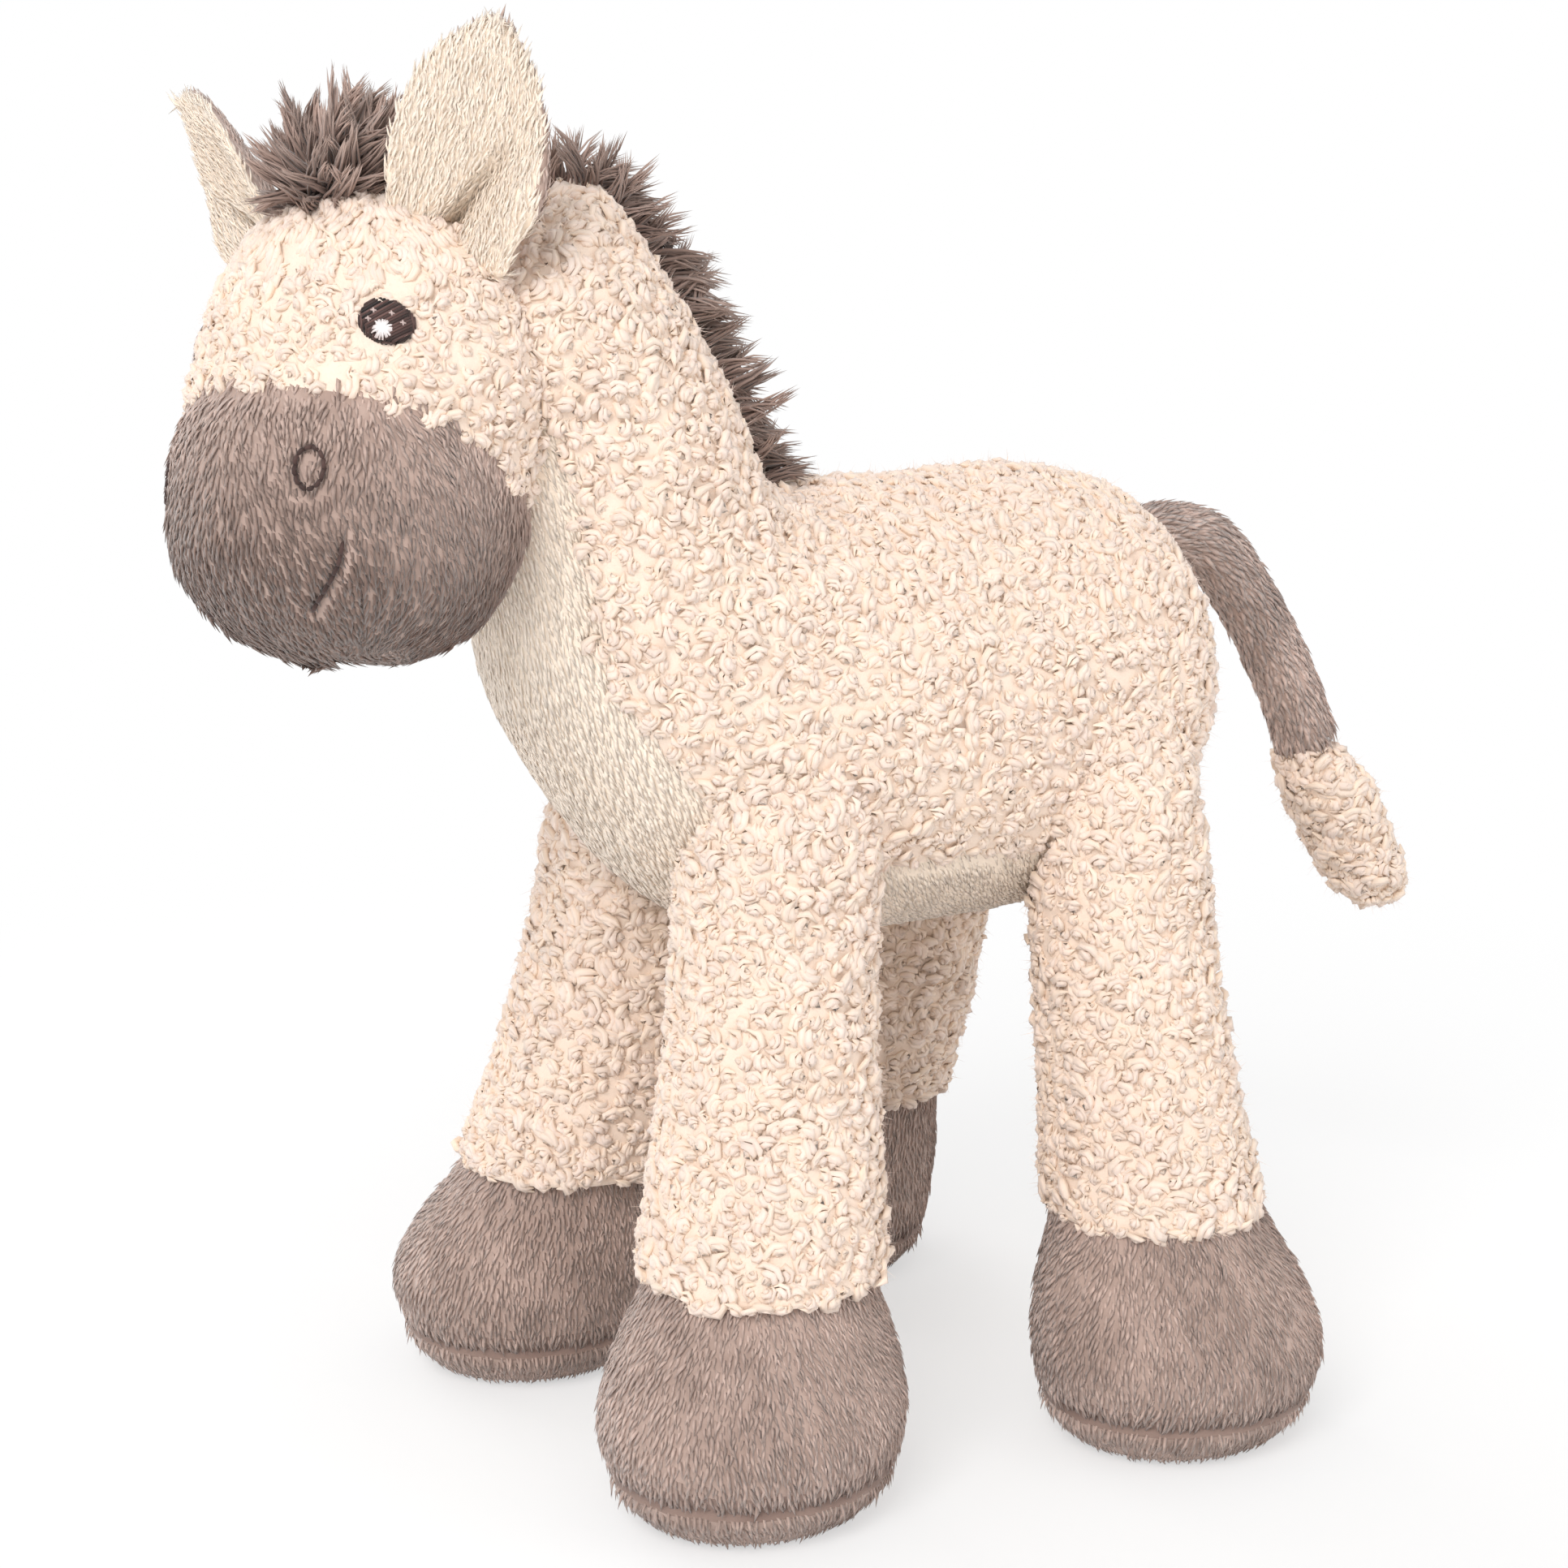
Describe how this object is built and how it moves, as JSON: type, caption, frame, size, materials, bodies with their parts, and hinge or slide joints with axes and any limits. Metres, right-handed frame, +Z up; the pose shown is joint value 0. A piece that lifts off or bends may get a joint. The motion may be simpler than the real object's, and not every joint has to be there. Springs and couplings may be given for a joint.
{
  "type": "plush horse",
  "caption": "Standing stuffed toy horse with curled cream pile, smooth muzzle and hooves, long pile mane, embroidered eyes and soft limbs that flex.",
  "frame": {"origin": "on the floor under the middle of the toy's overall box", "axes": "+Z up, the horse faces -Y, its left side is +X"},
  "size_m": [0.1722, 0.2861, 0.277],
  "materials": {
    "cream_sherpa": "curled bouclé pile in clustered loops, matt",
    "cream_minky": "short smooth plush with a soft sheen",
    "taupe_minky": "short smooth plush with nap streaks",
    "taupe_long_pile": "long shaggy pile in pointed locks",
    "fibre_filling": "loose white polyester fibre",
    "dark_thread": "dark brown embroidery thread, slight sheen",
    "white_thread": "white embroidery thread, slight sheen"
  },
  "bodies": {
    "body": {"side_panel_left": "cream_sherpa", "side_panel_right": "cream_sherpa", "belly_gusset": "cream_minky", "body_filling": "fibre_filling", "mane": "taupe_long_pile"},
    "head": {"head_cover": "cream_sherpa", "muzzle_cover": "taupe_minky", "head_filling": "fibre_filling", "forelock": "taupe_long_pile", "eye_left": "dark_thread", "eye_glint_left": "white_thread", "nostril_left": "dark_thread", "mouth_left": "dark_thread", "eye_right": "dark_thread", "eye_glint_right": "white_thread", "nostril_right": "dark_thread", "mouth_right": "dark_thread"},
    "tail": {"tail_cover": "taupe_minky", "tail_filling": "fibre_filling", "tail_tuft": "cream_sherpa"},
    "ear_left": {"ear_lining_left": "cream_minky", "ear_back_left": "taupe_minky"},
    "ear_right": {"ear_lining_right": "cream_minky", "ear_back_right": "taupe_minky"},
    "leg_front_left": {"sleeve_front_left": "cream_sherpa", "hoof_front_left": "taupe_minky", "sole_front_left": "taupe_minky", "filling_front_left": "fibre_filling"},
    "leg_front_right": {"sleeve_front_right": "cream_sherpa", "hoof_front_right": "taupe_minky", "sole_front_right": "taupe_minky", "filling_front_right": "fibre_filling"},
    "leg_hind_left": {"sleeve_hind_left": "cream_sherpa", "hoof_hind_left": "taupe_minky", "sole_hind_left": "taupe_minky", "filling_hind_left": "fibre_filling"},
    "leg_hind_right": {"sleeve_hind_right": "cream_sherpa", "hoof_hind_right": "taupe_minky", "sole_hind_right": "taupe_minky", "filling_hind_right": "fibre_filling"}
  },
  "joints": [
    {"name": "head_nod", "type": "hinge", "parent": "body", "child": "head", "pos_m": [0, -0.0807, 0.224], "axis": [1, 0, 0], "range_deg": [-12, 4], "stiffness_Nm_per_rad": 1.2},
    {"name": "tail_swing", "type": "hinge", "parent": "body", "child": "tail", "pos_m": [0, 0.06578, 0.171], "axis": [1, 0, 0], "range_deg": [-20, 30], "stiffness_Nm_per_rad": 0.12},
    {"name": "ear_fold_left", "type": "hinge", "parent": "head", "child": "ear_left", "pos_m": [0.01505, -0.09435, 0.24045], "axis": [0.6651, 0.6725, -0.3245], "range_deg": [-14, 14], "stiffness_Nm_per_rad": 0.05},
    {"name": "ear_fold_right", "type": "hinge", "parent": "head", "child": "ear_right", "pos_m": [-0.02922, -0.10873, 0.23391], "axis": [0.8173, -0.1909, 0.5436], "range_deg": [-14, 14], "stiffness_Nm_per_rad": 0.05},
    {"name": "leg_swing_front_left", "type": "hinge", "parent": "body", "child": "leg_front_left", "pos_m": [0.028, -0.0367, 0.114], "axis": [1, 0, 0], "range_deg": [-18, 6], "stiffness_Nm_per_rad": 2},
    {"name": "leg_swing_front_right", "type": "hinge", "parent": "body", "child": "leg_front_right", "pos_m": [-0.028, -0.0367, 0.114], "axis": [1, 0, 0], "range_deg": [-18, 6], "stiffness_Nm_per_rad": 2},
    {"name": "leg_swing_hind_left", "type": "hinge", "parent": "body", "child": "leg_hind_left", "pos_m": [0.034, 0.0393, 0.114], "axis": [1, 0, 0], "range_deg": [-6, 18], "stiffness_Nm_per_rad": 2},
    {"name": "leg_swing_hind_right", "type": "hinge", "parent": "body", "child": "leg_hind_right", "pos_m": [-0.034, 0.0393, 0.114], "axis": [1, 0, 0], "range_deg": [-6, 18], "stiffness_Nm_per_rad": 2}
  ]
}
